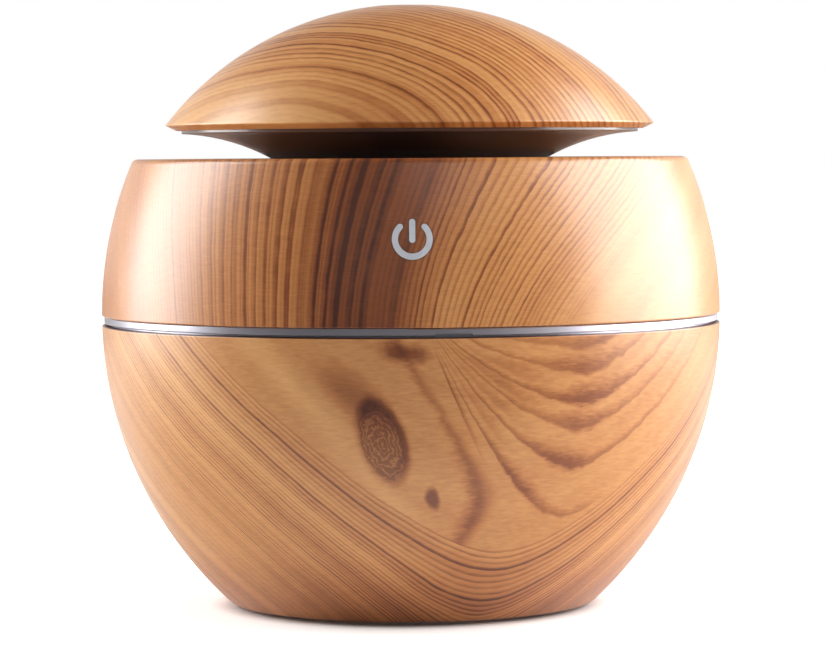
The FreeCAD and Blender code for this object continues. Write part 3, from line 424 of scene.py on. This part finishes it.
def dark_plastic():
    paint = moulded("dark_plastic", rgb(104, 76, 64), 0.42)
    paint.set(Coat_Weight=1.0, Coat_Roughness=0.2)
    return paint.material


def white_plastic():
    paint = moulded("white_plastic", rgb(240, 239, 235), 0.4, shift=0.06)
    paint.set(Subsurface_Weight=0.2, Subsurface_Scale=0.002)
    return paint.material


def milky_ring():
    """Translucent light guide: milky body, glossy edge. Its colour grows paler towards the right: painted
    light, where the right lamp falls on it.
    """
    paint = moulded("light_ring", rgb(166, 163, 172), 0.34, shift=0.12)
    # Painted light: the colour grows paler towards the right, where the right lamp falls on the ring.
    paint.colour(paint.mix(paint.x.step(2.0, 26.0), rgb(184, 181, 190), rgb(240, 234, 244)))
    paint.set(Metallic=0.75, Coat_Weight=0.4, Coat_Roughness=0.2)
    return paint.material


def silver_inlay():
    paint = metal("silver", rgb(242, 245, 252), 0.42)
    paint.set(Metallic=0.15)
    return paint.material


def circuit_board():
    """Green solder mask over faint copper tracks."""
    paint = Paint("circuit_board")
    track = ((paint.x + paint.y) * 2.2).sin().step(0.5, 0.7) * paint.noise(6.0, 1.0).step(0.0, 0.15)
    grain = paint.noise(0.3, 2.0)
    paint.colour(paint.mix(track * 0.7 + grain * 0.1, rgb(18, 78, 44), rgb(52, 128, 70)))
    paint.roughness(0.3 + grain * 0.05)
    paint.bump(track, 0.03)
    return paint.material


def winding():
    """Enamelled copper wire wound round the fan's axis."""
    paint = metal("copper_coil", rgb(196, 118, 66), 0.3)
    turns = (paint.z * (math.tau / 0.35)).sin()
    paint.bump(turns, 0.08)
    return paint.material


MATERIALS = {
    "dark_plastic": dark_plastic(),
    "white_plastic": white_plastic(),
    "black_plastic": moulded("black_plastic", rgb(38, 38, 40), 0.5).material,
    "light_ring": milky_ring(),
    "silver": silver_inlay(),
    "silicone": moulded("silicone", rgb(226, 225, 220), 0.5, shift=0.08).material,
    "rubber": moulded("rubber", rgb(40, 40, 41), 0.75, grain=0.4, depth=0.03).material,
    "steel": metal("steel", rgb(196, 197, 200), 0.3).material,
    "brass": metal("brass", rgb(190, 150, 84), 0.35).material,
    "aluminium": metal("aluminium", rgb(200, 202, 205), 0.35, (1.0, 1.0, 6.0)).material,
    "copper_coil": winding(),
    "ferrite": moulded("ferrite", rgb(60, 60, 63), 0.55, grain=0.15).material,
    "circuit_board": circuit_board(),
    "wire": moulded("wire", rgb(168, 34, 28), 0.45).material,
}
WOODS = {"lid_dome": dome_wood(), "upper_shell": band_wood(), "lower_bowl": bowl_wood()}


def dress_nodes():
    """Gives every CAD node its material."""
    for part in frame["record"]["subparts"]:
        node = NODES[part["node"]]
        node.data.materials.clear()
        node.data.materials.append(WOODS.get(part["node"]) or MATERIALS[part["material_slot"]])


# ---- Floor, light and camera --------------------------------------------------------------------------
def only_camera(tree, seen, unseen):
    """A colour that the camera sees as one thing and every other ray as another."""
    path = tree.nodes.new("ShaderNodeLightPath")
    mix = tree.nodes.new("ShaderNodeMix")
    mix.data_type = "RGBA"
    feed(mix.inputs["Factor"], path.outputs["Is Camera Ray"])
    feed(mix.inputs["A"], unseen)
    feed(mix.inputs["B"], seen)
    return mix.outputs["Result"]


def floor():
    """Pale floor, lifted to white for the camera so that it runs into the backdrop. It is clear from below,
    and open under the foot, so that the underside can be looked at."""
    bpy.ops.mesh.primitive_plane_add(size=8.0)
    plane = bpy.context.object
    plane.name = "floor"
    paint = Paint("floor")
    cloud = paint.noise(60.0, 2.0)
    paint.roughness(0.85 + cloud * 0.03)
    path = paint.tree.nodes.new("ShaderNodeLightPath").outputs
    # Painted shade for reflections: glossy rays see the floor dark in front of the object, which keeps the
    # coat's gloss off the front of the bowl.
    dimmed = Field(paint.tree, path["Is Glossy Ray"]) * paint.y.step(-58.0, -96.0)
    sheet = paint.mix(dimmed, (0.76, 0.75, 0.75, 1.0), (0.12, 0.12, 0.12, 1.0))
    paint.colour(only_camera(paint.tree, (0.9, 0.895, 0.895, 1.0), sheet))
    feed(paint.surface.inputs["Emission Color"], only_camera(paint.tree, (1.0, 0.995, 0.99, 1.0), (0, 0, 0, 1)))
    distance = (paint.x.squared() + paint.y.squared()).sqrt()
    # The glow that lifts the floor to white fades out near the foot, so the floor there shows its real shadow
    # and is also painted darker: painted shade round the foot.
    lift = distance.step(29.5, 34.0) * 0.4 + distance.step(34.0, 85.0) * 0.6
    paint.set(Emission_Strength=lift, Specular_IOR_Level=0.1)
    from_above = 1.0 - Field(paint.tree, paint.tree.nodes.new("ShaderNodeNewGeometry").outputs["Backfacing"])
    by_camera = Field(paint.tree, path["Is Camera Ray"])
    feed(paint.surface.inputs["Alpha"], from_above * distance.step(25.5, 26.0).most(by_camera))
    plane.data.materials.append(paint.material)


def softbox(name, azimuth, distance, height, size, power):
    """A rectangular light that faces the object. Azimuth 0 is the camera's side, positive to the right."""
    data = bpy.data.lights.new(name, "AREA")
    data.shape = "RECTANGLE"
    data.size, data.size_y = size
    data.energy = power
    lamp = bpy.data.objects.new(name, data)
    a = math.radians(azimuth)
    lamp.location = (distance * math.sin(a), -distance * math.cos(a), height)
    aim = Vector((0, 0, 0.05)) - lamp.location
    lamp.rotation_euler = aim.to_track_quat("-Z", "Y").to_euler()
    bpy.context.scene.collection.objects.link(lamp)


def studio():
    softbox("left_box", -104.0, 0.62, 0.27, (0.44, 0.74), 6.2)
    softbox("right_box", 97.0, 0.62, 0.27, (0.74, 0.74), 10.0)
    softbox("top_box", 20.0, 0.90, 0.95, (0.7, 0.7), 1.2)
    softbox("front_fill", -8.0, 1.40, 0.55, (1.2, 0.8), 0.5)
    world = bpy.data.worlds.new("studio")
    world.use_nodes = True
    bpy.context.scene.world = world
    tree = world.node_tree
    split = tree.nodes.new("ShaderNodeSeparateXYZ")
    feed(split.inputs[0], tree.nodes.new("ShaderNodeTexCoord").outputs["Generated"])
    behind = Field(tree, split.outputs["Y"]).step(-0.1, 0.5) * Field(tree, split.outputs["Z"]).step(0.6, 0.2)
    around = tree.nodes.new("ShaderNodeCombineColor")
    for channel in around.inputs:
        feed(channel, behind * 0.6 + 0.12)
    feed(tree.nodes["Background"].inputs["Color"], only_camera(tree, (1.0, 1.0, 1.0, 1.0), around.outputs[0]))
    bpy.context.scene.view_settings.view_transform = "Standard"


CAMERA_DISTANCE = 0.560
CAMERA_HEIGHT = 0.0739
CAMERA_AZIMUTH = math.radians(-0.36)      # the front sits slightly right of the middle of the ball
CAMERA_PITCH = math.radians(-2.98)
CAMERA_ROLL = math.radians(0.38)
CAMERA_SIDESTEP = 0.00025                 # the picture's middle is this far right of the ball's axis


def camera():
    data = bpy.data.cameras.new("camera")
    data.lens = 149.1
    data.sensor_width = 36.0
    eye = bpy.data.objects.new("camera", data)
    turn = Matrix.Rotation(CAMERA_AZIMUTH, 4, "Z")
    place = Matrix.Translation((CAMERA_SIDESTEP, -CAMERA_DISTANCE, CAMERA_HEIGHT))
    aim = Matrix.Rotation(math.radians(90.0) + CAMERA_PITCH, 4, "X") @ Matrix.Rotation(-CAMERA_ROLL, 4, "Z")
    eye.matrix_world = turn @ place @ aim
    bpy.context.scene.collection.objects.link(eye)
    bpy.context.scene.camera = eye


dress_nodes()
floor()
studio()
camera()
